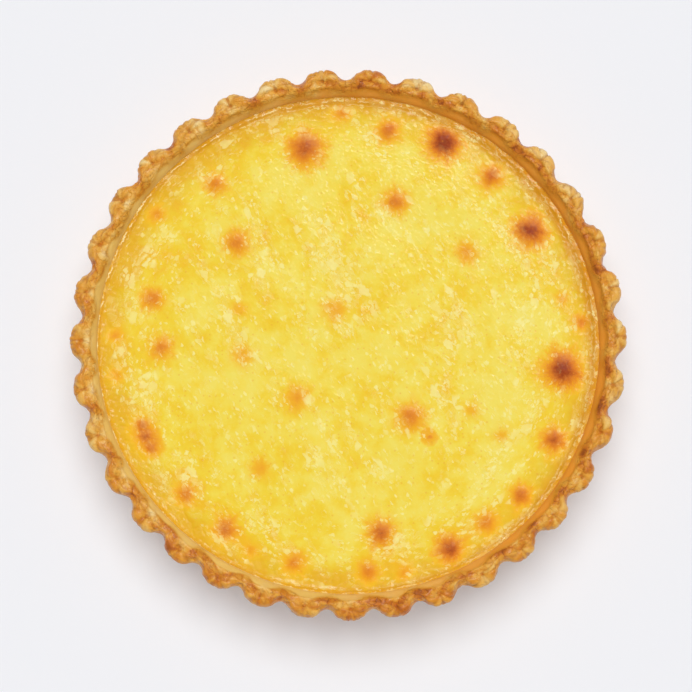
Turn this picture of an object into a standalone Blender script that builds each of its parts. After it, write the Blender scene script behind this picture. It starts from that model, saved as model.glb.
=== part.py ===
"""Custard tart: a fluted pastry case, filled with baked custard whose skin is browned in blisters.

Metres, +Z up. The origin is the middle of the case's flat underside. +Y is the far side of the tart for
somebody who looks down on it, and bearings are measured from +Y towards +X.
"""

import math

import bmesh
import bpy
from mathutils import Vector, noise

MM = 0.001
MERGE = 0.01 * MM  # points nearer than this are one

# The case, which takes its size from a 20 cm fluted tin
CASE_RADIUS = 100.0 * MM  # to the tips of the flutes, at their widest
CASE_HEIGHT = 28.2 * MM
WIDEST_HEIGHT = 25.2 * MM
BASE_RADIUS = 95.0 * MM  # to the tips of the flutes, at the foot of the wall
MIDDLE_HEIGHT = 14.0 * MM  # a ring of points half-way up the outside, so that the faces there aren't long
FOOT_BEVEL = 1.4 * MM  # the soft edge between the wall and the underside
FLOOR_THICKNESS = 3.6 * MM
FLUTES = 35
FLUTE_DEPTH = 4.1 * MM  # at the rim
FLUTE_DEPTH_AT_BASE = 3.1 * MM
FLUTE_FULLNESS = 1.6  # above 1 the flutes are broad and the grooves between them narrow
COLUMNS_PER_FLUTE = 10

# Pastry shrinks unevenly, so the flutes drift round from even spacing, in degrees
FIRST_FLUTE = 4.7
FLUTE_DRIFT = 2.2
FLUTE_SECOND_DRIFT = -0.8
OVAL = 0.0017  # the share by which the case is longer one way than the other
OVAL_BEARING = math.radians(135)

# The inner face of the wall, smooth and without flutes
INNER_RADIUS_AT_FLOOR = 86.6 * MM
INNER_RADIUS_AT_CUSTARD = 90.6 * MM
WALL_THROUGH_FLUTE = 7.4 * MM  # how far in from the outside the flutes are felt

# The crest of the rim
CREST_RADIUS = 95.4 * MM
PINCH_DEPTH = 1.3 * MM  # the dimple where each flute was pressed into the tin
PINCH_WIDTH = 1.9 * MM
CRAG_HEIGHT = 0.9 * MM
CRAG_SIZE = 4.2 * MM
RIM_SWAY = 0.5 * MM  # how much one stretch of the rim stands above another
RIM_SWAY_TURNS = 2.3  # above 1 the sway rises and falls more often on the way round
RIM_BEGINS = 1.5 * MM  # above the custard, where the rim's roughness starts
RIM_FADE = 4.0 * MM  # the height over which it grows to the full

# The discs of a few large faces in the middle of the floor and of the underside
FLOOR_RING = 6.0 * MM  # from the disc to the wall
UNDERSIDE_RING = 9.0 * MM

# The custard
CUSTARD_LEVEL = 22.5 * MM
GAP = 0.3 * MM  # between the custard and the case
CUSTARD_CELLS = 40  # along each side of the grid that becomes the custard's skin
SKIN_SWELL = 0.35 * MM  # broad, shallow undulation
SKIN_SWELL_SIZE = 24 * MM
EDGE_CLIMB = 0.7 * MM  # the custard creeps up the pastry
EDGE_CLIMB_WIDTH = 2.5 * MM
BLISTER_REACH = 0.8  # the raised part's share of the browned patch

SHARP_ANGLE = math.radians(50)  # edges sharper than this are shaded as edges

# Browned blisters: x, y and the radius of the browned patch, then the height raised, all in millimetres
BLISTERS = (
    (35.2, 74.0, 6.9, 1.3),
    (77.2, -10.2, 7.6, 1.4),
    (66.2, 40.8, 6.5, 1.2),
    (36.3, -74.7, 5.1, 0.9),
    (-15.7, 71.4, 6.9, 0.9),
    (74.0, -35.6, 4.7, 0.9),
    (11.7, -69.0, 5.1, 0.8),
    (52.5, 61.2, 4.3, 0.7),
    (-73.6, -32.4, 3.9, 0.7),
    (-71.2, -37.4, 3.6, 0.6),
    (61.9, -55.3, 4.0, 0.7),
    (14.6, 78.0, 4.3, 0.6),
    (-43.7, -67.9, 4.7, 0.7),
    (17.5, 51.9, 4.3, 0.6),
    (-67.3, -2.2, 4.0, 0.5),
    (6.8, -82.8, 3.6, 0.5),
    (-58.4, -55.3, 4.3, 0.6),
    (49.3, -65.0, 4.3, 0.5),
    (-71.0, 15.7, 4.0, 0.5),
    (22.3, -27.3, 5.1, 0.6),
    (-40.4, 36.3, 4.7, 0.6),
    (-19.3, -79.6, 4.0, 0.5),
    (-48.3, 58.2, 4.3, 0.5),
)


def clamp(value):
    return min(1.0, max(0.0, value))


def smooth_step(value):
    t = clamp(value)
    return t * t * (3 - 2 * t)


def lerp(a, b, share):
    return a + (b - a) * share


def bell(distance, width):
    """1 at no distance, falling smoothly to nothing a few widths away."""
    return math.exp(-((distance / width) ** 2))


def bearing_of(co):
    return math.atan2(co.x, co.y)


def oval(bearing):
    """How much longer a radius is at this bearing than in a true circle."""
    return 1 + OVAL * math.cos(2 * (bearing - OVAL_BEARING))


def flute_phase(bearing):
    """0 in the middle of a flute, pi in the groove beside it."""
    drift = FLUTE_DRIFT * math.sin(bearing) + FLUTE_SECOND_DRIFT * math.sin(2 * bearing)
    return FLUTES * (bearing - math.radians(FIRST_FLUTE + drift))


def flute(bearing):
    """1 at a flute's tip and 0 in the groove, with broad round tips."""
    wave = 0.5 + 0.5 * math.cos(flute_phase(bearing))
    return 1 - (1 - wave) ** FLUTE_FULLNESS


def outer_radius(height):
    """The tips of the flutes at this height, on the slanting wall."""
    return lerp(BASE_RADIUS, CASE_RADIUS, height / WIDEST_HEIGHT)


def inner_radius(height):
    """The smooth inner face of the wall at this height, below the rim."""
    share = (height - FLOOR_THICKNESS) / (CUSTARD_LEVEL - FLOOR_THICKNESS)
    return lerp(INNER_RADIUS_AT_FLOOR, INNER_RADIUS_AT_CUSTARD, share)


def case_profile():
    """Radius and height of the case's outline, up the inner wall, over the rim and down the outside."""
    rim = (
        (91.2, 25.0),
        (92.0, 26.8),
        (93.5, 27.8),
        (95.4, 28.2),
        (97.5, 27.9),
        (99.2, 27.0),
        (100.0, 25.2),
    )
    return (
        (INNER_RADIUS_AT_FLOOR, FLOOR_THICKNESS),
        (INNER_RADIUS_AT_CUSTARD, CUSTARD_LEVEL),
        *((radius * MM, height * MM) for radius, height in rim),
        (outer_radius(MIDDLE_HEIGHT), MIDDLE_HEIGHT),
        (outer_radius(FOOT_BEVEL), FOOT_BEVEL),
        (BASE_RADIUS - FOOT_BEVEL, 0.0),
    )


def press_flute(co):
    """The share of the flute's depth that is felt here: all of it outside, none on the inner face."""
    inward = outer_radius(min(co.z, WIDEST_HEIGHT)) - math.hypot(co.x, co.y)
    return smooth_step(1 - inward / WALL_THROUGH_FLUTE)


def rim_relief(co, bearing):
    """Height to add on the rim: its sway, its crags and the dimple pressed into each flute."""
    on_rim = smooth_step((co.z - CUSTARD_LEVEL - RIM_BEGINS) / RIM_FADE)
    around = Vector((math.sin(bearing), math.cos(bearing), 0))
    sway = RIM_SWAY * noise.noise(around * RIM_SWAY_TURNS)
    crag = CRAG_HEIGHT * noise.noise(co / CRAG_SIZE)
    half_flute = math.pi * CREST_RADIUS / FLUTES
    across = half_flute * math.sin(flute_phase(bearing) / 2) * 2 / math.pi
    from_crest = math.hypot(co.x, co.y) - CREST_RADIUS
    pinch = PINCH_DEPTH * bell(across, PINCH_WIDTH) * bell(from_crest, PINCH_WIDTH)
    return on_rim * (sway + crag - pinch)


def flute_the_case(bm):
    for vert in bm.verts:
        co = vert.co.copy()
        bearing = bearing_of(co)
        depth = lerp(FLUTE_DEPTH_AT_BASE, FLUTE_DEPTH, co.z / CASE_HEIGHT)
        pressed = depth * (1 - flute(bearing)) * press_flute(co)
        radius = (math.hypot(co.x, co.y) - pressed) * oval(bearing)
        vert.co = (
            radius * math.sin(bearing),
            radius * math.cos(bearing),
            co.z + rim_relief(co, bearing),
        )


def close_with_disc(bm, height, radius):
    """Closes the open ring at this height with a flat disc of a few large faces."""
    at_height = [edge for edge in bm.edges if abs(edge.verts[0].co.z - height) < MERGE]
    ring = [edge for edge in at_height if edge.is_boundary]
    disc = bmesh.ops.create_circle(bm, cap_ends=True, cap_tris=True, segments=FLUTES, radius=radius)["verts"]
    bmesh.ops.translate(bm, verts=disc, vec=(0, 0, height))
    rim = [edge for edge in {edge for vert in disc for edge in vert.link_edges} if edge.is_boundary]
    bmesh.ops.triangle_fill(bm, use_beauty=True, edges=ring + rim)


def material(name, colour, roughness):
    made = bpy.data.materials.new(name)
    made.use_nodes = True
    shader = made.node_tree.nodes["Principled BSDF"]
    shader.inputs["Base Color"].default_value = (*colour, 1)
    shader.inputs["Roughness"].default_value = roughness
    shader.inputs["Metallic"].default_value = 0
    return made


def add_object(name, mesh, collection, finish):
    mesh.materials.append(finish)
    mesh.shade_smooth()
    mesh.set_sharp_from_angle(angle=SHARP_ANGLE)
    made = bpy.data.objects.new(name, mesh)
    collection.objects.link(made)
    return made


def turned(name, profile, steps):
    """The mesh that a profile of radius and height makes when it is turned round the Z axis."""
    outline = bpy.data.meshes.new(name)
    bm = bmesh.new()
    points = [bm.verts.new((radius, 0, height)) for radius, height in profile]
    for first, second in zip(points, points[1:]):
        bm.edges.new((first, second))
    bm.to_mesh(outline)
    bm.free()
    blank = bpy.data.objects.new(name, outline)
    bpy.context.scene.collection.objects.link(blank)
    screw = blank.modifiers.new("turn", "SCREW")
    screw.steps = steps
    screw.render_steps = steps
    screw.use_merge_vertices = True
    screw.merge_threshold = MERGE
    graph = bpy.context.evaluated_depsgraph_get()
    mesh = bpy.data.meshes.new_from_object(blank.evaluated_get(graph))
    bpy.data.objects.remove(blank)
    return mesh


def build_case(collection):
    """The pastry: turned, closed by its floor and underside, then fluted and roughened."""
    mesh = turned("pastry_case_blank", case_profile(), FLUTES * COLUMNS_PER_FLUTE)
    bm = bmesh.new()
    bm.from_mesh(mesh)
    close_with_disc(bm, FLOOR_THICKNESS, INNER_RADIUS_AT_FLOOR - FLOOR_RING)
    close_with_disc(bm, 0.0, BASE_RADIUS - UNDERSIDE_RING)
    bmesh.ops.recalc_face_normals(bm, faces=bm.faces)
    flute_the_case(bm)
    bmesh.ops.triangulate(bm, faces=bm.faces)
    bm.to_mesh(mesh)
    bm.free()
    return add_object("pastry_case", mesh, collection, material("baked_pastry", (0.62, 0.33, 0.10), 0.55))


def skin_height(x, y):
    """The height of the custard's skin: its swell, its climb at the edge and its blisters."""
    radius = math.hypot(x, y)
    swell = SKIN_SWELL * noise.noise(Vector((x, y, 0)) / SKIN_SWELL_SIZE)
    climb = EDGE_CLIMB * bell(INNER_RADIUS_AT_CUSTARD - radius, EDGE_CLIMB_WIDTH)
    raised = 0.0
    for across, along, size, height in BLISTERS:
        reach = size * MM * BLISTER_REACH
        share = math.hypot(x - across * MM, y - along * MM) / reach
        if share < 1:
            raised = max(raised, height * MM * (1 - share * share) ** 2)
    return CUSTARD_LEVEL + swell + climb + raised


def near_blister(co):
    return any(math.hypot(co.x - x * MM, co.y - y * MM) < size * MM for x, y, size, _ in BLISTERS)


def round_off(bm, radius):
    """Turns a square grid of half side 1 into a disc of this radius, corners and all."""
    for vert in bm.verts:
        x, y = vert.co.x, vert.co.y
        vert.co.x = radius * x * math.sqrt(1 - y * y / 2)
        vert.co.y = radius * y * math.sqrt(1 - x * x / 2)


def build_custard(collection):
    """The filling: a disc of skin, finer at the blisters, drawn down along the wall to the floor."""
    bm = bmesh.new()
    bmesh.ops.create_grid(bm, x_segments=CUSTARD_CELLS, y_segments=CUSTARD_CELLS, size=1)
    round_off(bm, INNER_RADIUS_AT_CUSTARD - GAP)
    fine = [face for face in bm.faces if near_blister(face.calc_center_median())]
    edges = {edge for face in fine for edge in face.edges if not edge.is_boundary}
    bmesh.ops.subdivide_edges(bm, edges=list(edges), cuts=1, use_grid_fill=True)
    for vert in bm.verts:
        vert.co.z = skin_height(vert.co.x, vert.co.y)
    border = [edge for edge in bm.edges if edge.is_boundary]
    drawn = bmesh.ops.extrude_edge_only(bm, edges=border)["geom"]
    foot = [item for item in drawn if isinstance(item, bmesh.types.BMVert)]
    foot_height = FLOOR_THICKNESS + GAP
    foot_radius = inner_radius(foot_height) - GAP
    for vert in foot:
        share = foot_radius / math.hypot(vert.co.x, vert.co.y)
        vert.co = (vert.co.x * share, vert.co.y * share, foot_height)
    bmesh.ops.holes_fill(bm, edges=[edge for edge in bm.edges if edge.is_boundary])
    for vert in bm.verts:
        stretch = oval(bearing_of(vert.co))
        vert.co.x *= stretch
        vert.co.y *= stretch
    bmesh.ops.recalc_face_normals(bm, faces=bm.faces)
    bmesh.ops.triangulate(bm, faces=bm.faces)
    mesh = bpy.data.meshes.new("custard")
    bm.to_mesh(mesh)
    bm.free()
    return add_object("custard", mesh, collection, material("baked_custard", (0.88, 0.66, 0.08), 0.35))


def main():
    for old in list(bpy.data.objects):
        bpy.data.objects.remove(old)
    tart = bpy.data.collections.new("custard_tart")
    bpy.context.scene.collection.children.link(tart)
    build_case(tart)
    build_custard(tart)


main()
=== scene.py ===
"""A custard tart in a fluted pastry case, seen from almost straight above on a pale table."""

import math
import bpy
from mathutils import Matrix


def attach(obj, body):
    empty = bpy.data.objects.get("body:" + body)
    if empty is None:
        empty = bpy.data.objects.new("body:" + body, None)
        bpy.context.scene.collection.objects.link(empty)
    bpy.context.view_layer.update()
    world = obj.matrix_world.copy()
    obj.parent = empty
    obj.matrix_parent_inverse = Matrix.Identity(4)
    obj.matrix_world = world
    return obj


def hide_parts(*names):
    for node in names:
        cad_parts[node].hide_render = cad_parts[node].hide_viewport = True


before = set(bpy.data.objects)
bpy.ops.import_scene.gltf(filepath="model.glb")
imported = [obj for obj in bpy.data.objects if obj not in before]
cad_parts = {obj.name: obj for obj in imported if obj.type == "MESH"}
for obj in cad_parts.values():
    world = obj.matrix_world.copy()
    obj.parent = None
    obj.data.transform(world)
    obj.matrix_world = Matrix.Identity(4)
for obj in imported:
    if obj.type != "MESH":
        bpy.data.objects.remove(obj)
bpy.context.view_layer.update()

from types import SimpleNamespace

import bmesh
import bpy
import numpy as np
from mathutils import Vector, noise

MM = 0.001

# The photograph's camera
LENS_MM = 120.0
SENSOR_MM = 36.0
CAMERA_DISTANCE = 828.0 * MM
CAMERA_ELEVATION = math.radians(82)
CAMERA_TARGET = Vector((-0.77, -2.23, 28.0)) * MM

# The case
CASE_RADIUS = 100.0 * MM
CASE_HEIGHT = 28.2 * MM
WIDEST_HEIGHT = 25.2 * MM
BASE_RADIUS = 95.0 * MM
FLOOR_THICKNESS = 3.6 * MM
FLUTES = 35
FLUTE_DEPTH = 4.1 * MM
FLUTE_DEPTH_AT_BASE = 3.1 * MM
FLUTE_FULLNESS = 1.75
FIRST_FLUTE = 4.7
FLUTE_DRIFT = 2.2
FLUTE_SECOND_DRIFT = -0.8
OVAL = 0.0017
OVAL_BEARING = math.radians(135)
INNER_RADIUS_AT_FLOOR = 86.6 * MM
INNER_RADIUS_AT_CUSTARD = 90.6 * MM
WALL_THROUGH_FLUTE = 7.4 * MM
CREST_RADIUS = 95.4 * MM
PINCH_DEPTH = 1.3 * MM
PINCH_WIDTH = 1.9 * MM
CRAG_HEIGHT = 0.9 * MM
CRAG_SIZE = 4.2 * MM
RIM_SWAY = 0.5 * MM
RIM_SWAY_TURNS = 2.3
RIM_BEGINS = 1.5 * MM
RIM_FADE = 4.0 * MM
FOOT_BEVEL = 1.4 * MM
CASE_COLUMNS = 1260
GROOVES_FILLED = 0.45 * MM  # the dough swells into the grooves of the tin as it bakes
SCALLOP_DEPTH = 0.9 * MM  # each flute shows on the inner side of the rim too
SCALLOP_HEIGHT = 26.3 * MM
SCALLOP_WIDTH = 1.6 * MM
# The rim's outline, radius and height in millimetres, from the custard over the crest to the widest place
RIM_OUTLINE = (
    (90.8, 23.4),
    (91.2, 25.0),
    (92.0, 26.8),
    (93.5, 27.8),
    (95.4, 28.2),
    (97.5, 27.9),
    (99.2, 27.0),
    (100.0, 25.2),
)

# The baked dough, which stands out from the pressed case
RIM_STARTS = 24.6 * MM
HIDDEN_BELOW = 21.5 * MM  # the custard covers everything lower than this
HIDDEN_WITHIN = 92.0 * MM
PINCH_RADIUS = 95.9 * MM
LOBE_HALF_WIDTH = 6.6 * MM
TONGUE_LENGTH = 3.6 * MM
TONGUE_HEIGHT = 0.75 * MM
SLIT_DEPTH = 0.8 * MM
LOBE_PUFF = 0.80 * MM
LOBE_CRAGS = 0.08 * MM
CRAG_PUFF = 0.34 * MM
WALL_PUFF = 0.22 * MM
WALL_GRAIN = 0.05 * MM
RIM_SINKS = 0.25 * MM  # so that the puffs end at the solid's height

# The custard
CUSTARD_LEVEL = 22.5 * MM
CUSTARD_CELLS = 300
CUSTARD_EDGE = 91.0 * MM  # just inside the pastry, so that no gap shows
SKIN_SWELL = 0.35 * MM
SKIN_SWELL_SIZE = 24 * MM
EDGE_CLIMB = 0.7 * MM
EDGE_CLIMB_WIDTH = 2.5 * MM
BLISTER_REACH = 0.95
BLISTER_SHARE = 0.62  # of the solid's blister height, because the skin sinks as it cools
RIPPLE_HEIGHT = 0.17 * MM
CRINKLE_HEIGHT = 0.12 * MM
BLISTER_LUMPS = 0.22 * MM
EDGE_PILLOWS = 0.16 * MM
EDGE_RIDGE = 0.22 * MM
EDGE_RIDGE_RADIUS = 89.4 * MM

# Blisters: x, y and the radius of the browned patch in millimetres, the height raised, how browned
BLISTERS = (
    (35.2, 74.0, 6.9, 1.3, 1.00),
    (77.2, -10.2, 7.6, 1.4, 0.90),
    (66.2, 40.8, 6.5, 1.2, 0.85),
    (36.3, -74.7, 5.1, 0.9, 0.75),
    (-15.7, 71.4, 6.9, 0.9, 0.65),
    (74.0, -35.6, 4.7, 0.9, 0.65),
    (11.7, -69.0, 5.1, 0.8, 0.60),
    (52.5, 61.2, 4.3, 0.7, 0.55),
    (-74.6, -30.2, 2.5, 0.6, 0.46),
    (-72.9, -34.4, 2.7, 0.7, 0.48),
    (-70.8, -38.8, 2.4, 0.6, 0.40),
    (61.9, -55.3, 4.0, 0.7, 0.50),
    (14.6, 78.0, 4.3, 0.6, 0.50),
    (-43.7, -67.9, 4.7, 0.7, 0.50),
    (17.5, 51.9, 4.3, 0.6, 0.45),
    (-67.3, -2.2, 4.0, 0.5, 0.42),
    (6.8, -82.8, 3.6, 0.5, 0.40),
    (-58.4, -55.3, 4.3, 0.6, 0.42),
    (49.3, -65.0, 4.3, 0.5, 0.38),
    (-71.0, 15.7, 4.0, 0.5, 0.40),
    (22.3, -27.3, 5.1, 0.6, 0.42),
    (-40.4, 36.3, 4.7, 0.6, 0.40),
    (-19.3, -79.6, 4.0, 0.5, 0.38),
    (-48.3, 58.2, 4.3, 0.5, 0.38),
)
# Faint patches without a blister: x, y and radius in millimetres, how browned
FAINT_PATCHES = (
    (84.7, 7.3, 3.2, 0.40),
    (-2.6, 84.8, 3.2, 0.32),
    (-69.7, 47.1, 3.2, 0.30),
    (-84.0, 2.2, 2.9, 0.25),
    (19.9, -82.5, 2.9, 0.25),
    (43.2, 33.0, 4.0, 0.27),
    (-34.6, -75.7, 2.5, 0.22),
    (77.5, 15.7, 1.8, 0.25),
    (-18.4, -20.4, 4.7, 0.26),
    (-83.4, -12.0, 2.9, 0.20),
    (-31.6, -45.7, 3.2, 0.20),
    (29.1, -34.5, 1.1, 0.35),
    (-38.3, -4.8, 4.3, 0.18),
    (-4.8, 12.0, 5.1, 0.18),
    (54.9, -33.7, 2.5, 0.14),
    (-39.2, 11.7, 2.9, 0.14),
    (44.3, -24.8, 2.2, 0.14),
)
# Stretches of finely crinkled skin: x, y, half length and half width in millimetres, bearing, strength
CRINKLED = (
    (-8, 32, 13, 6, -15, 1.0),
    (-1, 22, 8, 7, 0, 0.8),
    (-15, 45, 8, 3, -40, 0.8),
    (4, 8, 7, 3, 40, 0.7),
    (-5, 5, 4, 3, 0, 0.6),
    (12, 47, 6, 3, -45, 0.7),
    (-32, 27, 14, 4, 0, 0.8),
    (-42, 6, 16, 4, -20, 0.7),
    (38, 8, 10, 7, 0, 0.8),
    (60, 36, 14, 4, -28, 0.9),
    (63, 5, 16, 3, 3, 0.7),
    (34, -22, 10, 4, -20, 0.7),
    (52, -45, 14, 4, 35, 0.6),
    (73, 28, 8, 3, -15, 1.0),
    (76, 8, 8, 3, -10, 0.9),
    (44, 72, 6, 3, -50, 1.0),
    (68, -25, 10, 4, 25, 0.8),
    (-80, 13, 6, 4, 0, 0.9),
    (-82, -8, 14, 4, -4, 0.8),
    (-76, 28, 12, 4, 22, 0.8),
    (-70, 36, 10, 4, 25, 0.7),
    (-74, -20, 10, 6, -20, 0.8),
    (-66, -52, 10, 4, -38, 0.7),
    (-46, -72, 10, 3, -56, 0.6),
    (-10, -28, 18, 2.5, -27, 0.7),
    (-7, -47, 10, 3, -30, 0.8),
    (12, -46, 6, 3, -50, 0.7),
    (18, -74, 8, 4, 60, 0.8),
    (44, -68, 8, 3, -40, 0.7),
    (-10, -80, 8, 4, -20, 0.7),
    (-30, -68, 14, 4, -40, 0.6),
    (-60, -48, 14, 4, -30, 0.7),
    (42, 57, 8, 4, -30, 0.7),
    (7, 76, 5, 3, -45, 0.8),
    (-52, 62, 7, 4, 60, 0.7),
)

# Colours as seen, 0 to 255. The custard's skin from pale to deep yellow
SKIN_YELLOWS = (
    (0.0, (246, 224, 94)),
    (0.3, (246, 219, 76)),
    (0.5, (245, 212, 54)),
    (0.75, (244, 204, 38)),
    (1.0, (244, 190, 30)),
)
# The skin from hardly browned to scorched
SKIN_BROWNS = (
    (0.0, (246, 204, 44)),
    (0.15, (246, 192, 32)),
    (0.30, (243, 172, 32)),
    (0.45, (232, 144, 36)),
    (0.60, (212, 116, 38)),
    (0.78, (166, 72, 30)),
    (1.0, (118, 32, 18)),
)
# The pastry from raw cream to dark brown
PASTRY_BROWNS = (
    (0.0, (250, 218, 150)),
    (0.2, (245, 196, 106)),
    (0.4, (238, 174, 68)),
    (0.6, (228, 150, 44)),
    (0.8, (208, 118, 32)),
    (1.0, (160, 82, 26)),
)
# Painted shade on the custard's skin towards the rim
RIM_SHADE_AMBER = (209, 158, 28)
SHADE_BY_WALL = (216, 147, 14)
SPECK_ORANGE = (232, 150, 40)
# Painted highlight on the crinkled skin, partly the skin's own paler colour
CRINKLE_PALE_AND_HIGHLIGHT = (251, 239, 158)
SPOKE_GOLD = (250, 205, 96)
EDGE_SHADE = (206, 142, 30)
EDGE_GLEAM = (254, 238, 176)
# Browner dough and painted shade in cracks and creases
CRACK_BROWN_AND_SHADE = (178, 96, 30)
# The shaded inner wall's deeper orange, partly its own colour and partly painted bounce light
SHADY_CRUST = (252, 158, 50)
# Painted sunlight on the left of the inner wall
SUNNY_CRUST = (255, 212, 118)
TABLE_WHITE = (240, 241, 245)
TABLE_GLOW = (243, 242, 243)
TABLE_REFLECTS = 0.87  # the share of the table's brightness that shadows can take away

# Lights far away: bearing, elevation and width in degrees, strength, colour
WINDOW = (0, 71, 46, 2.17, (1.02, 1.0, 0.965))
ROOM = (128, 38, 20, 0.55, (0.95, 1.0, 1.07))
ROOM_BEHIND = (205, 50, 20, 0.44, (0.94, 1.0, 1.08))
GLINT = (20, 60, 22, 0.8, (0.70, 0.90, 1.0))
ROOM_COLOUR = (0.127, 0.128, 0.137, 1)


def set_camera():
    """The photograph's camera, which looks down from a little in front of the tart."""
    data = bpy.data.cameras.new("camera")
    data.lens = LENS_MM
    data.sensor_width = SENSOR_MM
    camera = bpy.data.objects.new("camera", data)
    bpy.context.scene.collection.objects.link(camera)
    back = Vector((0, -math.cos(CAMERA_ELEVATION), math.sin(CAMERA_ELEVATION)))
    camera.location = CAMERA_TARGET + back * CAMERA_DISTANCE
    camera.rotation_euler = back.to_track_quat("Z", "Y").to_euler()
    bpy.context.scene.camera = camera


def linear(*colour):
    """An RGB colour as seen, 0 to 255, as the light it sends back."""
    shares = [value / 255 for value in colour]
    lit = [s / 12.92 if s <= 0.04045 else ((s + 0.055) / 1.055) ** 2.4 for s in shares]
    return (*lit, 1.0)


def smooth_step(value):
    """0 below 0 and 1 above 1, with a smooth rise between them."""
    t = np.clip(value, 0, 1)
    return t * t * (3 - 2 * t)


def rise(value, start, width):
    """0 up to the start, then smoothly to 1 over the width."""
    return smooth_step((value - start) / width)


def fall(value, end, width):
    """1, then smoothly to 0 over the width that leads to the end."""
    return smooth_step((end - value) / width)


def facing(bearing, degrees):
    """1 in this direction from the middle of the tart, 0 in the opposite one."""
    return 0.5 + 0.5 * np.cos(bearing - math.radians(degrees))


def bell(distance, width):
    """1 at no distance, falling smoothly to nothing a few widths away."""
    return np.exp(-((distance / width) ** 2))


def shift_of(seed):
    """Takes each noise to a place of its own."""
    return Vector((seed * 7.3, seed * -3.1, seed * 5.9))


def noise_at(points, size, seed=0.0):
    """Smooth noise between -1 and 1 at each point, with lumps about this size."""
    shift = shift_of(seed)
    return np.array([noise.noise(Vector(point) + shift) for point in (points / size).tolist()])


def noise_vectors(points, size, seeds):
    """A noise of its own for each axis, which warps a pattern."""
    return np.stack([noise_at(points, size, seed) for seed in seeds], axis=1)


def streaks_at(points, flow, size, length, seed):
    """Noise drawn out along the flow, to about this length each way."""
    steps = (-1.0, -0.5, 0.0, 0.5, 1.0)
    return sum(noise_at(points + flow * (step * length), size, seed) for step in steps) / len(steps)


def cells_at(points, size, seed):
    """Distance to the nearest of scattered seeds, as a share of size, and that seed's number from 0 to 1."""
    shift = shift_of(seed)
    near = np.empty(len(points))
    chance = np.empty(len(points))
    for index, point in enumerate((points / size).tolist()):
        distances, seeds = noise.voronoi(Vector(point) + shift)
        near[index] = distances[0]
        mixed = seeds[0].x * 127.1 + seeds[0].y * 311.7 + seeds[0].z * 74.7
        chance[index] = (math.sin(mixed) * 43758.5) % 1.0
    return near, chance


def pillows(value, width):
    """Cushions between the lines where a noise is zero, which become creases."""
    return np.sqrt(np.minimum(np.abs(value) / width, 1))


def flute_phase(bearing):
    """0 in the middle of a flute, pi in the groove beside it."""
    drift = FLUTE_DRIFT * np.sin(bearing) + FLUTE_SECOND_DRIFT * np.sin(2 * bearing)
    return FLUTES * (bearing - np.radians(FIRST_FLUTE + drift))


def oval(bearing):
    """How much longer or shorter the radius is here than on a round case."""
    return 1 + OVAL * np.cos(2 * (bearing - OVAL_BEARING))


def outer_radius(height):
    """The tips of the flutes at this height, on the slanting wall."""
    return BASE_RADIUS + (CASE_RADIUS - BASE_RADIUS) * height / WIDEST_HEIGHT


def inner_radius(height):
    """The smooth inner face of the wall at this height."""
    share = (height - FLOOR_THICKNESS) / (CUSTARD_LEVEL - FLOOR_THICKNESS)
    return INNER_RADIUS_AT_FLOOR + (INNER_RADIUS_AT_CUSTARD - INNER_RADIUS_AT_FLOOR) * share


def spaced(points, gap):
    """Points every gap or so along a smooth curve through these points, without the last."""
    line = [np.array(point) for point in points]
    line = [2 * line[0] - line[1], *line, 2 * line[-1] - line[-2]]
    made = []
    for a, b, c, d in zip(line, line[1:], line[2:], line[3:]):
        count = max(1, round(float(np.linalg.norm(c - b)) / gap))
        for t in np.arange(count) / count:
            turn = (2 * a - 5 * b + 4 * c - d) * t * t + (3 * b - a - 3 * c + d) * t**3
            made.append(tuple(0.5 * (2 * b + (c - a) * t + turn)))
    return made


def case_rows():
    """Radius and height of the case's outline, from the floor over the rim to the underside."""
    floor = [(2 * MM, FLOOR_THICKNESS), (84 * MM, FLOOR_THICKNESS)]
    hidden = [(inner_radius(height * MM), height * MM) for height in (3.6, 10, 17)]
    wall = [(inner_radius(height * MM), height * MM) for height in np.arange(21.0, 23.0, 0.5)]
    over = spaced([(radius * MM, height * MM) for radius, height in RIM_OUTLINE], 0.42 * MM)
    down = [(outer_radius(height * MM), height * MM) for height in np.linspace(25.2, 2.4, 21)]
    foot = [(outer_radius(FOOT_BEVEL), FOOT_BEVEL), (94.4 * MM, 0.5 * MM), (BASE_RADIUS - FOOT_BEVEL, 0.0)]
    under = [(radius * MM, 0.0) for radius in (90, 82, 60, 30, 2)]
    return [*floor, *hidden, *wall, *over, *down, *foot, *under]


def spun_case():
    """The case turned from its outline, still without flutes."""
    bm = bmesh.new()
    points = [bm.verts.new((0, radius, height)) for radius, height in case_rows()]
    edges = [bm.edges.new(pair) for pair in zip(points, points[1:])]
    bmesh.ops.spin(
        bm,
        geom=[*points, *edges],
        cent=(0, 0, 0),
        axis=(0, 0, 1),
        dvec=(0, 0, 0),
        angle=math.tau,
        steps=CASE_COLUMNS,
        use_merge=True,
    )
    bmesh.ops.holes_fill(bm, edges=[edge for edge in bm.edges if edge.is_boundary])
    bmesh.ops.recalc_face_normals(bm, faces=bm.faces)
    mesh = bpy.data.meshes.new("crust")
    bm.to_mesh(mesh)
    bm.free()
    return mesh


def positions(mesh):
    """Where the mesh's points are, one row for each."""
    flat = np.empty(len(mesh.vertices) * 3)
    mesh.vertices.foreach_get("co", flat)
    return flat.reshape(-1, 3)


def normals(mesh):
    """Which way the surface faces at each point."""
    mesh.update()
    flat = np.empty(len(mesh.vertices) * 3)
    mesh.vertices.foreach_get("normal", flat)
    return flat.reshape(-1, 3)


def set_positions(mesh, points):
    """Moves the mesh's points to these rows."""
    mesh.vertices.foreach_set("co", points.ravel())
    mesh.update()


def set_attributes(mesh, named):
    """Keeps a number or a vector for each point under each name, for the material to read."""
    for name, values in named.items():
        kind, key = ("FLOAT", "value") if values.ndim == 1 else ("FLOAT_VECTOR", "vector")
        made = mesh.attributes.new(name, kind, "POINT")
        made.data.foreach_set(key, np.ascontiguousarray(values, np.float32).ravel())


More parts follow.
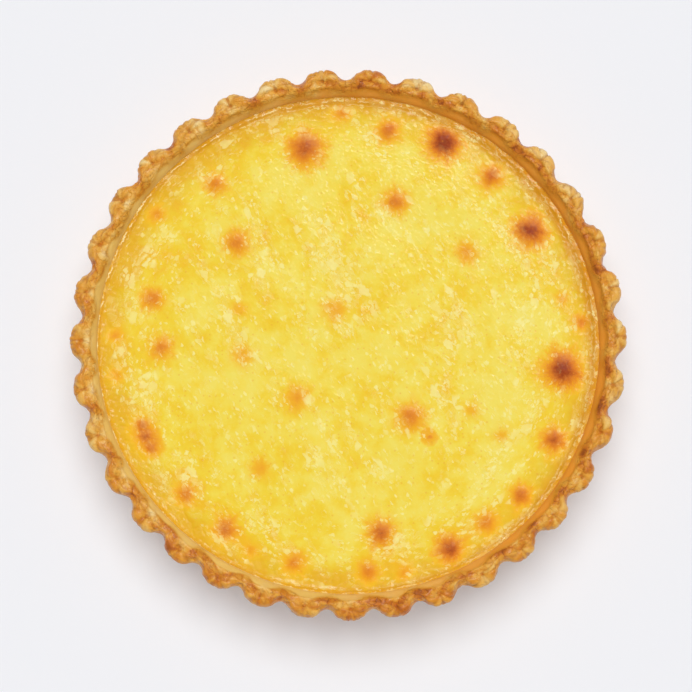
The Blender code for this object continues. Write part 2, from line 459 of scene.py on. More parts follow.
def grid_mesh(name, cells, size):
    """A flat square of this many cells each way, which reaches to size from the middle."""
    bm = bmesh.new()
    bmesh.ops.create_grid(bm, x_segments=cells, y_segments=cells, size=size)
    mesh = bpy.data.meshes.new(name)
    bm.to_mesh(mesh)
    bm.free()
    return mesh


def press_flutes(points):
    """The flutes, the crags, the sway and the pinches, as in the solid, and scallops inside the rim."""
    x, y, z = points.T
    bearing = np.arctan2(x, y)
    radius = np.hypot(x, y)
    phase = flute_phase(bearing)
    wave = 0.5 + 0.5 * np.cos(phase)
    full = 1 - (1 - wave) ** FLUTE_FULLNESS
    felt = smooth_step(1 - (outer_radius(np.minimum(z, WIDEST_HEIGHT)) - radius) / WALL_THROUGH_FLUTE)
    depth = FLUTE_DEPTH_AT_BASE + (FLUTE_DEPTH - FLUTE_DEPTH_AT_BASE) * z / CASE_HEIGHT
    depth = depth - GROOVES_FILLED * z / CASE_HEIGHT
    moved = (radius - depth * (1 - full) * felt) * oval(bearing)
    on_rim = smooth_step((z - CUSTARD_LEVEL - RIM_BEGINS) / RIM_FADE)
    around = np.stack([np.sin(bearing), np.cos(bearing), 0 * bearing], axis=1)
    sway = RIM_SWAY * noise_at(around, 1 / RIM_SWAY_TURNS)
    crag = CRAG_HEIGHT * (1 - 0.5 * wave) * noise_at(points, CRAG_SIZE)
    half_flute = math.pi * CREST_RADIUS / FLUTES
    across = half_flute * np.sin(phase / 2) * 2 / math.pi
    pinch = PINCH_DEPTH * bell(across, PINCH_WIDTH) * bell(radius - CREST_RADIUS, PINCH_WIDTH)
    scallop = SCALLOP_DEPTH * wave * bell(z - SCALLOP_HEIGHT, SCALLOP_WIDTH) * (radius < CREST_RADIUS)
    moved = moved + scallop * (1 - 0.8 * smooth_step(1.8 * facing(bearing, 270) - 0.6))
    height = z + on_rim * (sway + crag - pinch)
    return np.stack([moved * np.sin(bearing), moved * np.cos(bearing), height], axis=1)


def noise_of_lobe(lobe, size, seed):
    """One number between -1 and 1 for each lobe of the rim."""
    return noise_at(np.stack([lobe, lobe * 0, lobe * 0], axis=1), size, seed)


def noise_on_wall(at, turns, rows, seed):
    """Noise laid round the inner wall, finer or coarser round it than up it."""
    return noise_at(np.stack([at.bearing * turns, at.z / MM * rows, at.z * 0], axis=1), 1.0, seed)


def places_on_case(plain, pressed):
    """Where on the case each point is, and the noises that its relief and its colours share."""
    at = SimpleNamespace()
    x, y, at.z = plain.T
    at.bearing = np.arctan2(x, y)
    at.radius = np.hypot(x, y)
    at.phase = flute_phase(at.bearing)
    at.lobe = np.floor((at.phase + math.pi) / math.tau)
    at.across = at.radius * ((at.phase + math.pi) % math.tau - math.pi) / FLUTES
    at.in_groove = rise(np.abs(at.across), 5.0 * MM, 2.5 * MM)
    at.rim = rise(at.z, RIM_STARTS, 1.6 * MM)
    at.outside = (at.radius > CREST_RADIUS) * fall(at.z, 27.2 * MM, 4 * MM)
    at.hidden = (at.z < HIDDEN_BELOW) & (at.radius < HIDDEN_WITHIN)
    at.inner_wall = (1 - at.rim) * (at.radius < 92.5 * MM) * (at.z > 20 * MM)

    # The fan of cracks that spreads over each lobe from its pinch
    at.wobble = noise_of_lobe(at.lobe, 0.61, 3)
    at.along = at.radius - (PINCH_RADIUS + 0.5 * MM * at.wobble)
    fan_angle = np.arctan2(at.across, at.along)
    fan_distance = np.hypot(at.across, at.along)
    spread = np.stack([fan_angle * 1.8, at.lobe * 3.7, fan_distance / (9 * MM)], axis=1)
    at.fan = noise_at(spread, 1.0, 5)
    beyond_pinch = rise(at.along, -0.6 * MM, 1.4 * MM)
    at.on_lobe = at.rim * beyond_pinch * fall(np.abs(at.across), LOBE_HALF_WIDTH, 1.6 * MM)
    at.off_lobe = at.rim * (1 - at.on_lobe)

    # The tongue of dough that runs inwards from each pinch, and the slit at the pinch itself
    at.tongue_size = 0.70 + 0.6 * noise_of_lobe(at.lobe, 0.47, 6)
    tongue_width = 0.45 * MM + 0.75 * np.maximum(0, -at.along)
    tongue = bell(at.across, tongue_width) * rise(-at.along, 0, 0.5 * MM)
    tongue = tongue * rise(at.along, -TONGUE_LENGTH, 1.2 * MM)
    at.tongue = at.rim * tongue * at.tongue_size
    at.slit = at.rim * bell(at.across, 0.55 * MM) * bell(at.along, 0.8 * MM)

    # Cushions, grain and small bubbles everywhere else on the rim and the outside
    bent = pressed + noise_vectors(pressed, 5 * MM, (11, 12, 13)) * 1.2 * MM
    at.crags = noise_at(bent, 3.1 * MM, 7)
    at.fine = noise_at(bent, 1.3 * MM, 8)
    near, chance = cells_at(bent, 2.3 * MM, 9)
    at.bubbles = (chance > 0.55) * np.maximum(0, 1 - (near / 0.42) ** 2)
    return at


def case_relief(at):
    """How far the baked dough stands out from the pressed case at each point."""
    lobe_puff = at.on_lobe * (pillows(at.fan, 0.26) * LOBE_PUFF + pillows(at.crags, 0.35) * LOBE_CRAGS)
    crag_puff = at.off_lobe * pillows(at.crags, 0.30) * CRAG_PUFF * rise(at.radius, 91.6 * MM, 1.8 * MM)
    dots = (at.rim + 0.5 * at.outside * (1 - at.rim)) * at.bubbles * (0.12 + 0.25 * at.in_groove)
    wall_puff = at.outside * (1 - at.rim) * (pillows(at.crags, 0.3) * WALL_PUFF + at.fine * WALL_GRAIN)
    wall_lines = at.inner_wall * WALL_GRAIN * noise_on_wall(at, 30, 1.6, 4)
    relief = lobe_puff + crag_puff + TONGUE_HEIGHT * at.tongue - SLIT_DEPTH * at.slit
    relief = relief + dots * MM + wall_puff + wall_lines
    relief = relief + at.rim * at.fine * (0.09 - 0.05 * at.on_lobe) * MM
    relief = relief - rise(at.z, 23.2 * MM, 4 * MM) * RIM_SINKS
    relief[at.hidden] = 0
    return relief * rise(at.z, 0, 3 * MM)


def case_colours(at, pressed):
    """What the pastry's material reads at each point, above all how dark it has baked, with some painted
    light and shade: 0 is raw cream.
    """
    # Cracks, creases and pinches: partly browner dough, partly painted shade
    pinch_line = at.rim * bell(at.across, 0.42 * MM) * rise(at.along, -0.4 * MM, 0.8 * MM)
    cracks = at.on_lobe * (1 - pillows(at.fan, 0.16)) + at.off_lobe * 0.8 * (1 - pillows(at.crags, 0.20))
    cracks = cracks + at.slit + pinch_line * (0.5 + 0.5 * at.wobble)
    cracks = np.clip(cracks + at.outside * 0.4 * (1 - pillows(at.crags, 0.20)), 0, 1)

    broad = noise_at(pressed, 16 * MM, 21)
    patchy = noise_at(pressed, 5.5 * MM, 22)
    small = noise_at(pressed, 2.1 * MM, 23)
    of_lobe = noise_of_lobe(at.lobe, 0.71, 25)
    north_west = facing(at.bearing, 290)
    west = facing(at.bearing, 252)
    south = facing(at.bearing, 195)
    ring = at.rim * bell(at.radius - 93.4 * MM, 1.7 * MM)
    toast_and_painted_light = 0.45 + 0.14 * broad + (0.34 - 0.14 * at.on_lobe) * patchy + (0.18 - 0.10 * at.on_lobe) * small
    # Painted shade and light: lobes on the near side darker, the ring on the far left paler, and the tongues
    # paler, partly their own paler dough and partly painted highlight
    toast_and_painted_light = toast_and_painted_light + 0.10 * at.in_groove * at.rim + (0.28 * south**2 - 0.13) * at.on_lobe
    toast_and_painted_light = toast_and_painted_light + ring * (0.24 - 0.36 * north_west**2) + 0.36 * (at.fan - 0.05) * at.on_lobe
    toast_and_painted_light = toast_and_painted_light - 0.30 * at.tongue + 0.22 * bell(at.bearing - math.radians(5.5), 0.10) * at.rim
    toast_and_painted_light = toast_and_painted_light + 0.16 * of_lobe * at.on_lobe

    # The inner wall and the inner foot of each lobe, which stay smooth and paler, and paler still towards
    # the left, which is painted light
    bare = 0.42 - 0.34 * smooth_step(west * 1.15) + 0.08 * noise_on_wall(at, 14, 0.9, 24)
    peak = (0.5 + 0.5 * np.cos(at.phase)) ** 2.2 * (0.75 + 0.5 * at.tongue_size)
    bare_edge = 91.9 - 0.3 * north_west**2 + (0.4 + 1.8 * south**1.5) * peak + (0.5 + 1.1 * west) * patchy
    softness = 1.5 + 0.7 * smooth_step(1.4 - 1.6 * west)
    low_rim = smooth_step((bare_edge * MM - at.radius) / (softness * MM) + 0.3) * (at.z > 5 * MM)
    on_tongue = rise(at.radius, 92.4 * MM, 0.7 * MM)
    pale_tongue = 0.14 + 0.20 * (1 - west) + 0.3 * patchy
    bare = bare * (1 - on_tongue) + pale_tongue * on_tongue
    toast_and_painted_light = toast_and_painted_light * (1 - low_rim) + bare * low_rim

    # Evenly baked where nothing is seen: under the custard and on the underside
    covered = (at.z < 0.3 * MM) & (at.radius < 94 * MM) | at.hidden
    toast_and_painted_light[covered] = 0.46
    cracks[covered] = 0

    # Painted light on the open inner wall: a brighter orange where it is shaded, partly painted bounce
    # light, and a sunlit gold on the left
    open_wall = low_rim * (1 - on_tongue)
    sunny = smooth_step(1.7 * west - 0.55) * (0.90 + 1.1 * patchy + 0.5 * small)
    return {
        "toast_and_painted_light": np.clip(toast_and_painted_light, 0, 1),
        "cracks": cracks * (1 - 0.7 * low_rim),
        "on_lobe": at.on_lobe,
        "smooth_wall": low_rim * (1 - 0.6 * on_tongue),
        "shady_wall": open_wall * smooth_step(1.35 - 1.6 * west),
        "sunny_wall": np.clip(open_wall * sunny, 0, 1),
    }


def crust_piece():
    """The baked case, over the solid of the same shape."""
    mesh = spun_case()
    plain = positions(mesh)
    set_positions(mesh, press_flutes(plain))
    pressed = positions(mesh)
    outward = normals(mesh)
    at = places_on_case(plain, pressed)
    set_positions(mesh, pressed + outward * case_relief(at)[:, None])
    set_attributes(mesh, case_colours(at, pressed))
    finish_piece("crust", mesh, pastry_material(), "pastry_case")


def patch_share(points, spot):
    """Distance from the middle of a patch as a share of its radius."""
    return np.hypot(points[:, 0] - spot[0] * MM, points[:, 1] - spot[1] * MM) / (spot[2] * MM)


def skin_heights(points):
    """The skin's swell, its climb at the edge and its blisters, as in the solid."""
    radius = np.hypot(points[:, 0], points[:, 1])
    swell = SKIN_SWELL * noise_at(points, SKIN_SWELL_SIZE)
    ragged = 0.45 + 0.6 * noise_at(points, 4.5 * MM, 51)
    top_right = facing(np.arctan2(points[:, 0], points[:, 1]), 50)
    climb = EDGE_CLIMB * ragged * (0.3 + 0.7 * top_right)
    climb = climb * bell(INNER_RADIUS_AT_CUSTARD - radius, EDGE_CLIMB_WIDTH)
    raised = np.zeros(len(points))
    for spot in BLISTERS:
        share = np.minimum(patch_share(points, spot) / BLISTER_REACH, 1)
        raised = np.maximum(raised, BLISTER_SHARE * spot[3] * MM * (1 - share**2) ** 2)
    return CUSTARD_LEVEL + swell + climb + raised


def flow_of(points):
    """The way that the skin's creases run: down to the right, and round the rim on the right."""
    x, y = points[:, 0], points[:, 1]
    radius = np.maximum(np.hypot(x, y), MM)
    right = smooth_step((x - 10 * MM) / (40 * MM))
    across = (1 - right) * 0.45 + right * y / radius
    down = (1 - right) * -0.89 + right * -x / radius
    length = np.hypot(across, down)
    return np.stack([across / length, down / length, 0 * x], axis=1)


def browned_at(points):
    """How browned the skin is, 0 to 1, with where and how strongly fine spokes cross each patch's halo."""
    bent = points[:, :2] + noise_vectors(points, 5 * MM, (31, 32)) * MM
    clear = np.ones(len(points))
    spokes = np.zeros((len(points), 3))
    ringed = np.zeros(len(points))
    for number, spot in enumerate((*BLISTERS, *FAINT_PATCHES)):
        share = patch_share(bent, spot)
        near = np.flatnonzero(share < 3.2)
        share = share[near]
        angle = np.arctan2(bent[near, 0] - spot[0] * MM, bent[near, 1] - spot[1] * MM)
        around = np.stack([np.sin(angle) * 3.4, np.cos(angle) * 3.4, share * 0.5 + number * 5.1], axis=1)
        ragged = share * (1 + 0.24 * noise_at(around, 1.0, 33))
        depth = min(spot[-1], 0.97)
        core = 1 - 0.82 * depth * bell(ragged, 0.74)
        halo = 1 - 0.40 * math.sqrt(depth) * bell(ragged, 0.7 + 3.4 / spot[2])
        clear[near] *= core * halo
        ring = depth * bell(ragged - 0.95, 0.36)
        nearest = ring > ringed[near]
        chosen = near[nearest]
        ringed[chosen] = ring[nearest]
        reach = spot[2] * 2.2
        towards = [np.sin(angle) * reach, np.cos(angle) * reach, share * spot[2] * 0.8 + number * 9.7]
        spokes[chosen] = np.stack(towards, axis=1)[nearest]
    return {"browned": 1 - clear, "spokes": spokes, "ringed": ringed}


def crinkled_at(points, flow):
    """Where the skin is crinkled: listed stretches and drawn-out noise between them."""
    x, y = points[:, 0] / MM, points[:, 1] / MM
    placed = np.zeros(len(points))
    for across, up, long, wide, bearing, strength in CRINKLED:
        turn = math.radians(bearing)
        ahead = (x - across) * math.sin(turn) + (y - up) * math.cos(turn)
        aside = (x - across) * math.cos(turn) - (y - up) * math.sin(turn)
        placed = np.maximum(placed, strength * np.exp(-((ahead / long) ** 2) - (aside / wide) ** 2))
    drawn = smooth_step(0.5 + 2.4 * streaks_at(points, flow, 5 * MM, 8 * MM, 41))
    radius = np.hypot(x, y)
    bearing = np.arctan2(x, y)
    east = smooth_step(0.55 + 0.85 * np.cos(bearing - math.radians(75)))
    by_rim = 0.34 * east * rise(radius, 83, 4)
    away = 1 - 0.3 * (1 - east) * rise(radius, 84, 4)
    return np.clip((np.maximum(placed, by_rim) + 0.65 * drawn - 0.28) * away, 0, 1)


def skin_colours(points, radius, crinkled):
    """What the custard's material reads at each point, beside its browning."""
    bearing = np.arctan2(points[:, 0], points[:, 1])
    golden = 0.32 + 0.50 * noise_at(points, 15 * MM, 47) + 0.40 * noise_at(points, 5 * MM, 48)
    golden = golden + 0.30 * rise(radius, 72 * MM, 12 * MM) + 0.5 * rise(radius, 82 * MM, 6 * MM)
    golden = golden + 0.12 * rise(-points[:, 0], 0, 60 * MM) + 0.18 * crinkled
    shaded = facing(bearing, 50)
    wavering = radius + 1.2 * MM * noise_at(points, 4 * MM, 52)
    by_wall = rise(wavering, (87.6 - 3.0 * shaded) * MM, 3.8 * MM)
    return {
        "golden": np.clip(golden, 0, 1),
        "crinkled": crinkled,
        "by_wall": by_wall * (0.42 + 0.58 * shaded),
        "near_rim": rise(radius, 76 * MM, 12 * MM),
        # how strongly the painted highlight along the skin's edge shows, most on the left
        "gleam": 0.40 + 0.55 * facing(bearing, 275) ** 2,
    }


def custard_piece():
    """The custard's skin, a grid drawn into a disc and given its relief, over the solid's top."""
    mesh = grid_mesh("filling", CUSTARD_CELLS, 1)
    points = positions(mesh)
    x, y = points[:, 0].copy(), points[:, 1].copy()
    points[:, 0] = CUSTARD_EDGE * x * np.sqrt(1 - y * y / 2)
    points[:, 1] = CUSTARD_EDGE * y * np.sqrt(1 - x * x / 2)
    points[:, 2] = 0
    radius = np.hypot(points[:, 0], points[:, 1])
    flow = flow_of(points)
    crinkled = crinkled_at(points, flow)

    wrinkles = streaks_at(points, flow, 1.9 * MM, 1.6 * MM, 42)
    ripples = streaks_at(points, flow, 5.5 * MM, 7 * MM, 43)
    lumps = noise_at(points, 2.4 * MM, 44)
    at_edge = rise(radius, 80 * MM, 6 * MM)
    on_ridge = bell(radius - EDGE_RIDGE_RADIUS, 0.55 * MM)
    on_blister = np.zeros(len(points))
    for spot in BLISTERS:
        on_blister = np.maximum(on_blister, bell(patch_share(points, spot), 0.6) * min(1, spot[4] + 0.2))
    height = skin_heights(points) + ripples * RIPPLE_HEIGHT
    height = height + (pillows(wrinkles, 0.5) - 0.6) * crinkled * CRINKLE_HEIGHT
    height = height + lumps * on_blister * BLISTER_LUMPS
    height = height + EDGE_PILLOWS * at_edge * (pillows(noise_at(points, 2.8 * MM, 45), 0.3) - 0.7)
    height = height + EDGE_RIDGE * on_ridge * (0.6 + noise_at(points, 9 * MM, 46))
    stretch = oval(np.arctan2(points[:, 0], points[:, 1]))
    set_positions(mesh, np.stack([points[:, 0] * stretch, points[:, 1] * stretch, height], axis=1))

    set_attributes(mesh, browned_at(points))
    set_attributes(mesh, skin_colours(points, radius, crinkled))
    finish_piece("filling", mesh, custard_material(), "custard")


def finish_piece(name, mesh, material, node):
    """Makes the mesh a smooth piece that stands in for this node of the solid."""
    mesh.materials.append(material)
    mesh.shade_smooth()
    piece = bpy.data.objects.new(name, mesh)
    bpy.context.scene.collection.objects.link(piece)
    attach(piece, "root")
    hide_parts(node)


class Graph:
    """Adds shader nodes to a tree. A value is a socket, which is linked, or a constant."""

    def __init__(self, tree, dimensions):
        """Its noises and cells have this many dimensions, such as 2D."""
        self.tree = tree
        self.dimensions = dimensions

    def add(self, kind, inputs, output=0, **settings):
        """A node of this kind, of which one output is used."""
        made = self.tree.nodes.new(kind)
        for name, value in settings.items():
            setattr(made, name, value)
        for name, value in inputs.items():
            self.feed(made.inputs[name], value)
        return made.outputs[output]

    def feed(self, socket, value):
        if isinstance(value, bpy.types.NodeSocket):
            self.tree.links.new(value, socket)
        else:
            socket.default_value = value

    def math(self, operation, a, b=0.0, c=0.0, clamp=False):
        return self.add("ShaderNodeMath", {0: a, 1: b, 2: c}, operation=operation, use_clamp=clamp)

    def plus(self, a, b, clamp=False):
        return self.math("ADD", a, b, clamp=clamp)

    def minus(self, a, b):
        return self.math("SUBTRACT", a, b)

    def times(self, a, b):
        return self.math("MULTIPLY", a, b)

    def larger(self, a, b):
        return self.math("MAXIMUM", a, b)

    def sloped(self, value, slope, start):
        """The start plus the value times the slope."""
        return self.math("MULTIPLY_ADD", value, slope, start)

    def scaled(self, value, middle, by):
        """The value's distance from a middle value, times by."""
        return self.times(self.minus(value, middle), by)

    def vector_math(self, operation, a, b, output=0):
        return self.add("ShaderNodeVectorMath", {0: a, 1: b}, output, operation=operation)

    def attribute(self, name, output="Fac"):
        return self.add("ShaderNodeAttribute", {}, output, attribute_name=name)

    def noise(self, vector, scale, detail, roughness):
        inputs = {"Vector": vector, "Scale": scale, "Detail": detail, "Roughness": roughness}
        return self.add("ShaderNodeTexNoise", inputs, "Fac", noise_dimensions=self.dimensions)

    def wandering(self, vector, scale, by):
        """The place moved about by smooth noise, up to half of by each way."""
        inputs = {"Vector": vector, "Scale": scale}
        made = self.add("ShaderNodeTexNoise", inputs, "Color", noise_dimensions=self.dimensions)
        return self.vector_math("ADD", vector, self.vector_math("MULTIPLY", made, (by, by, by)))

    def cells(self, vector, scale):
        """Three random numbers for each Voronoi cell, and the distance to its seed."""
        near = self.tree.nodes.new("ShaderNodeTexVoronoi")
        near.voronoi_dimensions = self.dimensions
        near.inputs["Scale"].default_value = scale
        self.feed(near.inputs["Vector"], vector)
        chances = self.tree.nodes.new("ShaderNodeSeparateColor")
        self.feed(chances.inputs["Color"], near.outputs["Color"])
        return chances.outputs, near.outputs["Distance"]

    def from_cell_edge(self, vector, scale):
        """The distance to the edge of the Voronoi cell."""
        inputs = {"Vector": vector, "Scale": scale}
        settings = {"feature": "DISTANCE_TO_EDGE", "voronoi_dimensions": self.dimensions}
        return self.add("ShaderNodeTexVoronoi", inputs, "Distance", **settings)

    def dots(self, vector, scale, channel, above, core, edge):
        """Soft dots on the seeds of which one random number is above this."""
        chances, from_seed = self.cells(vector, scale)
        chosen = self.math("GREATER_THAN", chances[channel], above)
        return self.times(chosen, self.span(from_seed, core, edge, 1.0, 0.0))

    def span(self, value, low, high, to_low=0.0, to_high=1.0):
        """Takes low to high smoothly to the second pair."""
        inputs = {"Value": value, "From Min": low, "From Max": high, "To Min": to_low, "To Max": to_high}
        return self.add("ShaderNodeMapRange", inputs, interpolation_type="SMOOTHSTEP")

    def line(self, value, middle, reach, strength=1.0):
        """The strength where the value is at the middle, and nothing from this far off it."""
        off = self.math("ABSOLUTE", self.minus(value, middle))
        return self.span(off, 0.0, reach, strength, 0.0)

    def mix(self, share, a, b):
        """This share of the second colour or place in the first."""
        made = self.tree.nodes.new("ShaderNodeMix")
        made.data_type = "RGBA"
        self.feed(made.inputs[0], share)
        self.feed(made.inputs[6], a)
        self.feed(made.inputs[7], b)
        return made.outputs[2]

    def tinted(self, colour, share, tint):
        """The colour with this share of a plain one, given as seen."""
        return self.mix(share, colour, linear(*tint))

    def ramp(self, value, stops):
        made = self.tree.nodes.new("ShaderNodeValToRGB")
        while len(made.color_ramp.elements) < len(stops):
            made.color_ramp.elements.new(0.5)
        for element, (place, colour) in zip(made.color_ramp.elements, stops):
            element.position = place
            element.color = linear(*colour)
        self.feed(made.inputs["Fac"], value)
        return made.outputs["Color"]

    def bump(self, height, distance):
        inputs = {"Height": height, "Distance": distance, "Strength": 1.0}
        return self.add("ShaderNodeBump", inputs, "Normal")

    def place_in_mm(self):
        """Where the point is on the object, in millimetres."""
        place = self.add("ShaderNodeTexCoord", {}, "Object")
        return self.vector_math("MULTIPLY", place, (1000, 1000, 1000))


def new_material(name, dimensions="3D"):
    """A material, its graph and its Principled shader. Its noises have this many dimensions."""
    made = bpy.data.materials.new(name)
    made.use_nodes = True
    return made, Graph(made.node_tree, dimensions), made.node_tree.nodes["Principled BSDF"]


def plates_of(graph, place, scale, share):
    """How pale the skin is painted on this share of scattered plates, many of them hollow inside a pale
    edge: partly paler skin, partly painted highlight.
    """
    chances, _ = graph.cells(place, scale)
    raised = graph.span(graph.minus(share, chances[1]), -0.10, 0.14)
    from_edge = graph.minus(graph.from_cell_edge(place, scale), graph.sloped(chances[2], 0.11, 0.04))
    inside = graph.span(from_edge, 0.0, 0.08)
    hollow = graph.times(graph.span(from_edge, 0.06, 0.13), graph.span(chances[0], 0.8, 0.4, 0.0, 0.75))
    tone = graph.times(graph.sloped(chances[0], 0.6, 0.4), graph.minus(1.0, hollow))
    return graph.times(graph.times(raised, inside), tone)


def scorching(graph, place, spoke, ringed):
    """How scorched the skin is, 0 to 1, uneven inside each patch and with spokes round it."""
    browned = graph.attribute("browned")
    patchy = graph.scaled(graph.noise(place, 0.8, 3.0, 0.6), 0.5, 0.36)
    uneven = graph.sloped(patchy, browned, browned)
    return graph.plus(uneven, graph.times(graph.scaled(spoke, 0.5, 0.6), ringed), clamp=True)


def along_creases(graph, bent, from_middle, cloud):
    """A place whose second axis follows the creases: round the rim near it, and slantwise elsewhere."""
    separate = graph.tree.nodes.new("ShaderNodeSeparateXYZ")
    graph.feed(separate.inputs[0], bent)
    bearing = graph.math("ARCTAN2", separate.outputs[0], separate.outputs[1])
    round_rim = graph.add("ShaderNodeCombineXYZ", {0: from_middle, 1: graph.times(bearing, 82.0)})
    slanting = graph.add("ShaderNodeVectorRotate", {"Vector": bent, "Angle": -0.47}, rotation_type="Z_AXIS")
    ragged = graph.plus(from_middle, graph.scaled(cloud, 0.5, 24.0))
    return graph.mix(graph.math("GREATER_THAN", ragged, 66.0), slanting, round_rim)


def crinkle_paleness_and_highlights(graph, drawn, narrow, grain, scorched):
    """How pale the crinkled skin is painted, partly paler skin and partly painted highlight: plates, smaller
    scales and narrow strokes, but not on browned skin.
    """
    crinkled = graph.attribute("crinkled")
    by_wall = graph.attribute("by_wall")
    plates = plates_of(graph, drawn, 0.33, graph.times(crinkled, 0.62))
    scales = plates_of(graph, drawn, 0.66, graph.times(crinkled, 0.80))
    strokes = plates_of(graph, narrow, 1.05, graph.sloped(crinkled, 0.66, 0.20))
    pale = graph.larger(graph.times(plates, 0.66), graph.times(scales, 0.66))
    pale = graph.times(pale, graph.sloped(by_wall, -0.85, 1.0))
    weight = graph.sloped(graph.attribute("near_rim"), -0.32, graph.sloped(by_wall, 0.22, 0.72))
    pale = graph.larger(pale, graph.times(strokes, weight))
    pale = graph.plus(pale, graph.times(graph.scaled(grain, 0.40, 0.30), crinkled), clamp=True)
    return graph.times(pale, graph.minus(1.0, graph.span(scorched, 0.2, 0.6, 0.0, 0.85)))


def edged(graph, colour, place, from_middle):
    """The colour with a dark line of painted shade and two fine lines of painted highlight where the skin
    meets the pastry.
    """
    swaying = graph.plus(from_middle, graph.scaled(graph.noise(place, 0.13, 2.0, 0.5), 0.5, 1.5))
    broken = graph.span(graph.noise(place, 0.30, 2.0, 0.5), 0.44, 0.60)
    inner_line = graph.times(graph.line(swaying, 88.5, 0.28), graph.attribute("by_wall"))
    bright = graph.times(graph.larger(graph.line(swaying, 89.9, 0.40), inner_line), broken)
    colour = graph.tinted(colour, graph.line(swaying, 89.3, 0.5, 0.5), EDGE_SHADE)
    return graph.tinted(colour, graph.times(bright, graph.attribute("gleam")), EDGE_GLEAM)


def custard_material():
    """Satin custard skin: cloudy yellow, browned in patches, pale where it crinkles (partly painted
    highlight), with painted shade towards the rim and painted highlights along its edge.
    """
    material, graph, shader = new_material("baked_custard", "2D")
    place = graph.place_in_mm()
    ringed = graph.attribute("ringed")
    cloud = graph.noise(place, 0.28, 3.0, 0.6)
    grain = graph.noise(place, 0.9, 2.0, 0.5)
    spoke_inputs = {"Vector": graph.attribute("spokes", "Vector"), "Scale": 1.0, "Detail": 1.0}
    spoke = graph.add("ShaderNodeTexNoise", spoke_inputs, "Fac")
    scorched = scorching(graph, place, spoke, ringed)

    warm = graph.plus(graph.attribute("golden"), graph.scaled(cloud, 0.5, 0.6))
    warm = graph.plus(warm, graph.scaled(grain, 0.5, 0.25))
    yellow = graph.ramp(warm, SKIN_YELLOWS)
    # Painted shade: the skin darkens towards the rim
    yellow = graph.tinted(yellow, graph.times(graph.attribute("near_rim"), 0.42), RIM_SHADE_AMBER)
    brown = graph.ramp(scorched, SKIN_BROWNS)
    colour = graph.mix(graph.span(scorched, 0.02, 0.22), yellow, brown)
    dulled = graph.times(graph.attribute("by_wall"), graph.span(scorched, 0.4, 0.8, 1.0, 0.2))
    colour = graph.tinted(colour, dulled, SHADE_BY_WALL)
    specks = graph.dots(graph.vector_math("ADD", place, (3.1, 7.7, 0.0)), 0.45, 0, 0.86, 0.05, 0.22)
    colour = graph.tinted(colour, graph.times(specks, 0.35), SPECK_ORANGE)

    # Plates and strokes that are drawn out along the creases, painted pale: partly paler skin, partly
    # painted highlight
    bent = graph.wandering(place, 0.8, 1.3)
    flat_place = graph.vector_math("MULTIPLY", bent, (1.0, 1.0, 0.0))
    from_middle = graph.vector_math("LENGTH", flat_place, (0.0, 0.0, 0.0), "Value")
    creases = along_creases(graph, bent, from_middle, cloud)
    drawn = graph.vector_math("MULTIPLY", creases, (1.0, 0.68, 1.0))
    narrow = graph.vector_math("MULTIPLY", creases, (1.15, 0.58, 1.0))
    colour = graph.tinted(colour, crinkle_paleness_and_highlights(graph, drawn, narrow, grain, scorched), CRINKLE_PALE_AND_HIGHLIGHT)
    dashes = graph.times(graph.span(spoke, 0.60, 0.70), ringed)
    colour = graph.tinted(colour, graph.times(dashes, 0.45), SPOKE_GOLD)
    colour = edged(graph, colour, place, from_middle)

    fine_skin = graph.math("ABSOLUTE", graph.scaled(graph.noise(narrow, 1.1, 1.0, 0.5), 0.5, 1.0))
    skin = graph.times(graph.noise(drawn, 0.7, 1.0, 0.5), 0.6)
    skin = graph.plus(skin, graph.times(fine_skin, graph.attribute("crinkled")))
    graph.feed(shader.inputs["Base Color"], colour)
    graph.feed(shader.inputs["Coat Normal"], graph.bump(skin, 0.26 * MM))
    graph.feed(shader.inputs["Coat Weight"], graph.span(scorched, 0.1, 0.5, 0.85, 0.10))
    shader.inputs["Coat Roughness"].default_value = 0.16
    shader.inputs["Roughness"].default_value = 0.5
    shader.inputs["Specular IOR Level"].default_value = 0.15
    shader.inputs["Subsurface Weight"].default_value = 0.12
    shader.inputs["Subsurface Radius"].default_value = (1.0, 0.7, 0.25)
    shader.inputs["Subsurface Scale"].default_value = 1.2 * MM
    return material


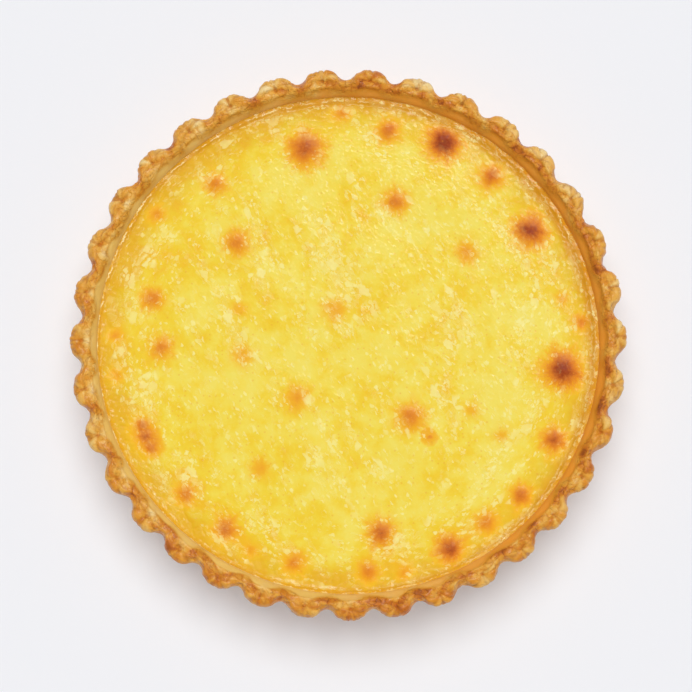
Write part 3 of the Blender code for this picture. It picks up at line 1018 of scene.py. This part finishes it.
def pastry_material():
    """Baked shortcrust, cream to brown by how it has baked, flaky and pimpled, with a faint shine."""
    material, graph, shader = new_material("baked_pastry")
    place = graph.place_in_mm()
    on_lobe = graph.attribute("on_lobe")
    rough = graph.minus(1.0, graph.attribute("smooth_wall"))
    facets = graph.times(rough, graph.sloped(on_lobe, -0.5, 1.0))
    mottle = graph.minus(graph.noise(place, 0.55, 4.0, 0.6), 0.5)
    grain = graph.minus(graph.noise(place, 2.4, 2.0, 0.6), 0.5)
    bent = graph.wandering(place, 0.6, 2.0)
    chances, _ = graph.cells(bent, 0.34)
    flake = graph.scaled(chances[0], 0.5, 0.22)
    seam = graph.times(graph.span(graph.from_cell_edge(bent, 0.34), 0.0, 0.12, 1.0, 0.0), facets)

    mottle = graph.times(mottle, graph.sloped(on_lobe, -0.10, 0.26))
    baked = graph.plus(graph.attribute("toast_and_painted_light"), mottle)
    baked = graph.plus(baked, graph.times(flake, facets))
    baked = graph.plus(baked, graph.times(seam, 0.12))
    baked = graph.plus(baked, graph.times(grain, 0.12), clamp=True)
    colour = graph.ramp(baked, PASTRY_BROWNS)
    # Darker in cracks and creases: browner dough and painted shade
    colour = graph.tinted(colour, graph.times(graph.attribute("cracks"), 0.66), CRACK_BROWN_AND_SHADE)
    # Painted light on the inner wall: brighter orange in its shade, sunlit gold on the left
    colour = graph.tinted(colour, graph.times(graph.attribute("shady_wall"), 0.75), SHADY_CRUST)
    colour = graph.tinted(colour, graph.times(graph.attribute("sunny_wall"), 0.9), SUNNY_CRUST)

    pimples = graph.times(graph.dots(bent, 0.75, 1, 0.6, 0.1, 0.42), facets)
    relief = graph.plus(graph.noise(place, 1.0, 3.0, 0.55), graph.times(grain, 0.4))
    relief = graph.plus(relief, graph.times(pimples, 0.60))
    relief = graph.minus(relief, graph.times(seam, 0.35))
    relief = graph.times(relief, graph.sloped(rough, 0.85, 0.15))
    graph.feed(shader.inputs["Base Color"], colour)
    graph.feed(shader.inputs["Normal"], graph.bump(relief, 0.36 * MM))
    graph.feed(shader.inputs["Roughness"], graph.span(baked, 0.2, 0.8, 0.46, 0.32))
    shader.inputs["Coat Weight"].default_value = 0.3
    shader.inputs["Coat Roughness"].default_value = 0.2
    return material


def build_floor():
    """The pale table. Part of its brightness is its own, which keeps the shadow on it soft."""
    mesh = grid_mesh("table", 1, 3.0)
    material, _, shader = new_material("pale_table")
    reflected = [TABLE_REFLECTS * value for value in linear(*TABLE_WHITE)]
    shader.inputs["Base Color"].default_value = reflected
    shader.inputs["Emission Color"].default_value = linear(*TABLE_GLOW)
    shader.inputs["Emission Strength"].default_value = 1 - TABLE_REFLECTS
    shader.inputs["Roughness"].default_value = 1.0
    shader.inputs["Specular IOR Level"].default_value = 0.0
    mesh.materials.append(material)
    floor = bpy.data.objects.new("table", mesh)
    bpy.context.scene.collection.objects.link(floor)


def add_sun(name, bearing, elevation, size, strength, colour):
    """A soft light far away at this bearing from +Y, all angles in degrees."""
    data = bpy.data.lights.new(name, "SUN")
    data.energy = strength
    data.angle = math.radians(size)
    data.color = colour
    light = bpy.data.objects.new(name, data)
    bpy.context.scene.collection.objects.link(light)
    turn, rise = math.radians(bearing), math.radians(elevation)
    towards = Vector((math.sin(turn) * math.cos(rise), math.cos(turn) * math.cos(rise), math.sin(rise)))
    light.rotation_euler = towards.to_track_quat("Z", "Y").to_euler()
    return light


def build_lights():
    """A window above the far side, two fills from the room without shadows, and a light that only glints."""
    window = add_sun("window", *WINDOW)
    window.visible_glossy = False
    for name, fill in (("room", ROOM), ("room_behind", ROOM_BEHIND)):
        light = add_sun(name, *fill)
        light.data.use_shadow = False
        light.visible_glossy = False
    glint = add_sun("glint", *GLINT)
    glint.visible_diffuse = False
    world = bpy.data.worlds.new("room")
    world.use_nodes = True
    background = world.node_tree.nodes["Background"]
    background.inputs["Color"].default_value = ROOM_COLOUR
    background.inputs["Strength"].default_value = 1.0
    bpy.context.scene.world = world
    bpy.context.scene.view_settings.view_transform = "Standard"


set_camera()
build_floor()
crust_piece()
custard_piece()
build_lights()
